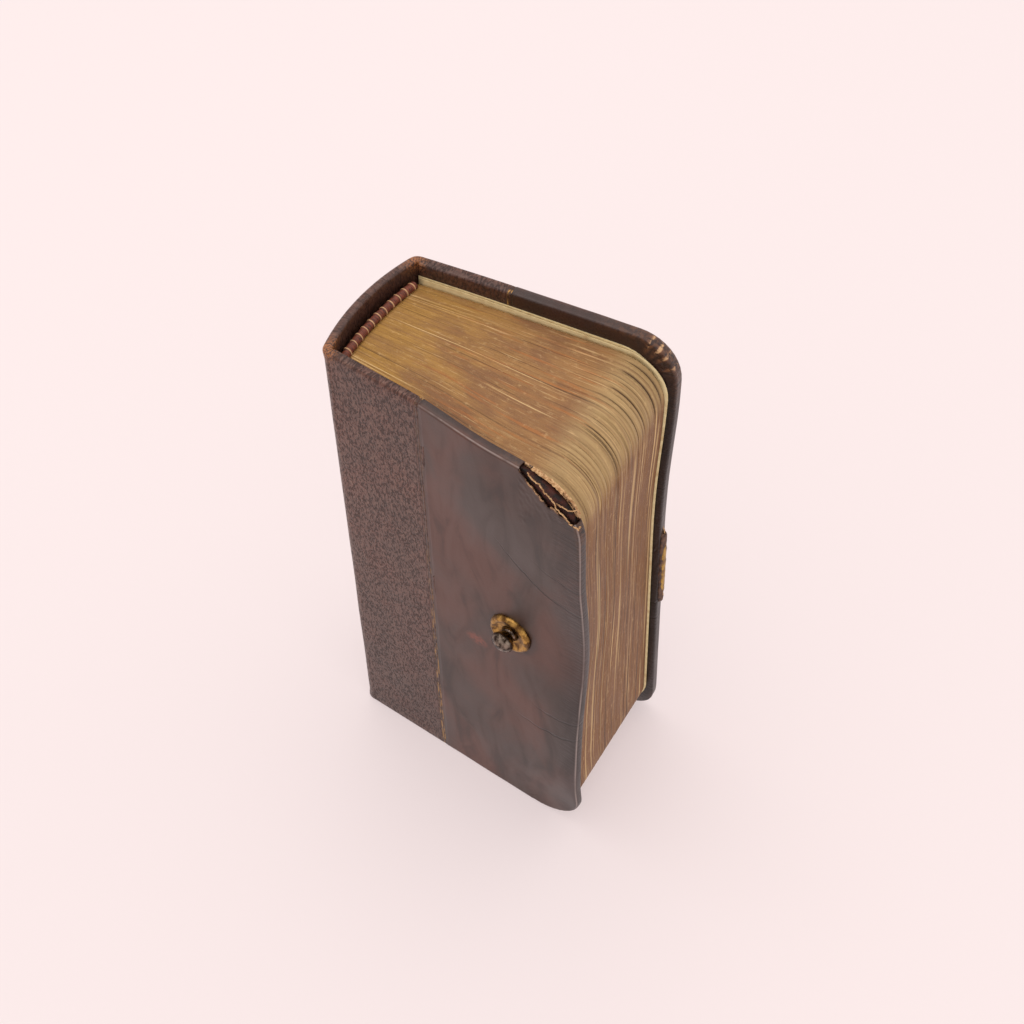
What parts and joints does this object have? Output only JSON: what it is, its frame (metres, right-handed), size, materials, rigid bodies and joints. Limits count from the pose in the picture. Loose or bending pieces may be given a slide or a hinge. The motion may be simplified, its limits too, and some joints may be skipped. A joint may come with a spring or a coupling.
{
  "type": "leather book",
  "caption": "Small thick book standing on its tail, in grained and smooth dark leather with worn gilt edges, a rounded hollow spine, opening covers and a clasp stud whose strap is torn off.",
  "frame": {"origin": "centre of the whole book's box, on the surface it stands on", "axes": "+Z from tail to head, +X from spine to fore-edge, front cover facing -Y"},
  "size_m": [0.0672, 0.0462, 0.125],
  "materials": {
    "gilt_edge_paper": "worn gilt and burnished",
    "endpaper": "matte",
    "lining_cloth": "matte, glued",
    "band_thread": "matte thread",
    "sewing_cord": "matte hemp",
    "spine_card": "matte",
    "pasteboard": "matte",
    "grained_leather": "pebble grain, worn sheen",
    "smooth_leather": "smooth, creased, worn sheen",
    "torn_leather": "torn and frayed",
    "worn_brass": "worn",
    "dark_bronze": "tarnished"
  },
  "bodies": {
    "root": {"text_block": "gilt_edge_paper", "front_flyleaf": "endpaper", "back_flyleaf": "endpaper", "spine_lining": "lining_cloth", "head_band": "band_thread", "tail_band": "band_thread", "spine_inlay": "spine_card", "spine_leather": "grained_leather", "sewing_cord_head": "sewing_cord", "sewing_cord_middle": "sewing_cord", "sewing_cord_tail": "sewing_cord"},
    "front_cover": {"front_board": "pasteboard", "front_quarter": "grained_leather", "front_siding": "smooth_leather", "front_pastedown": "endpaper", "clasp_washer": "worn_brass", "clasp_stud": "dark_bronze", "clasp_burr": "worn_brass"},
    "back_cover": {"back_board": "pasteboard", "back_quarter": "grained_leather", "back_siding": "smooth_leather", "back_pastedown": "endpaper", "strap_stub": "torn_leather", "strap_plate": "worn_brass"}
  },
  "joints": [
    {"name": "front_cover_hinge", "type": "hinge", "parent": "root", "child": "front_cover", "pos_m": [-0.03074, -0.01463, 0.0625], "axis": [0, 0, -1], "range_deg": [0, 180]},
    {"name": "back_cover_hinge", "type": "hinge", "parent": "root", "child": "back_cover", "pos_m": [-0.03074, 0.01802, 0.0625], "axis": [0, 0, 1], "range_deg": [0, 180]}
  ]
}
